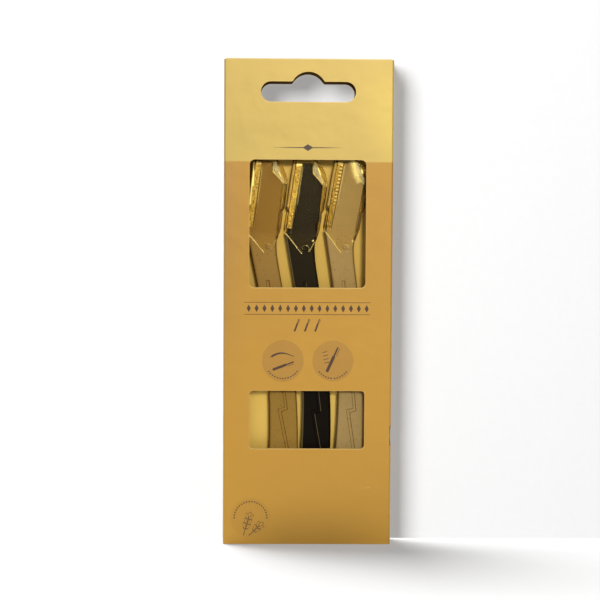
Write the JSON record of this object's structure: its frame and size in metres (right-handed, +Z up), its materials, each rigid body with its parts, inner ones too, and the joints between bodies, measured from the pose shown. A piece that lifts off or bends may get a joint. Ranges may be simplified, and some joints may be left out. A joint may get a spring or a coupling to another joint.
{
  "type": "eyebrow razor pack",
  "caption": "Hang-sell carton sleeve with windows over a shallow tray that holds slim eyebrow razors, each with a guarded blade and a clear slide-on cap.",
  "frame": {"origin": "middle of the underside, on the surface the pack stands on", "axes": "+Z up along the pack's height, front panel with the windows towards -Y, +X to the right seen from the front"},
  "size_m": [0.059, 0.01, 0.17],
  "materials": {
    "carton_board": "satin metallic gold print",
    "tray_board": "bright metallic gold",
    "tan_plastic": "matte with straw flecks",
    "black_plastic": "matte",
    "greige_plastic": "matte with straw flecks",
    "blade_steel": "ground",
    "guard_steel": "bright",
    "clear_plastic": "clear gloss"
  },
  "bodies": {
    "tray": {"tray_back_panel": "tray_board", "tray_left_wall": "tray_board", "tray_right_wall": "tray_board", "tray_end_panel": "tray_board", "tray_front_lip": "tray_board", "left_razor_handle": "tan_plastic", "left_razor_blade": "blade_steel", "left_razor_guard": "guard_steel", "middle_razor_handle": "black_plastic", "middle_razor_blade": "blade_steel", "middle_razor_guard": "guard_steel", "right_razor_handle": "greige_plastic", "right_razor_blade": "blade_steel", "right_razor_guard": "guard_steel"},
    "sleeve": {"sleeve_front_panel": "carton_board", "sleeve_back_panel": "carton_board", "sleeve_left_panel": "carton_board", "sleeve_right_panel": "carton_board", "sleeve_dust_flap_left": "carton_board", "sleeve_dust_flap_right": "carton_board", "sleeve_top_flap": "carton_board", "sleeve_glue_flap": "carton_board"},
    "left_cap": {"left_razor_cap": "clear_plastic"},
    "middle_cap": {"middle_razor_cap": "clear_plastic"},
    "right_cap": {"right_razor_cap": "clear_plastic"}
  },
  "joints": [
    {"name": "sleeve_lift", "type": "slide", "parent": "tray", "child": "sleeve", "axis": [0, 0, 1], "range_m": [0, 0.16]},
    {"name": "left_cap_slide", "type": "slide", "parent": "tray", "child": "left_cap", "axis": [0.1184, 0, 0.993], "range_m": [0, 0.032]},
    {"name": "middle_cap_slide", "type": "slide", "parent": "tray", "child": "middle_cap", "axis": [0.1461, 0, 0.9893], "range_m": [0, 0.032]},
    {"name": "right_cap_slide", "type": "slide", "parent": "tray", "child": "right_cap", "axis": [0.1702, 0, 0.9854], "range_m": [0, 0.032]}
  ]
}
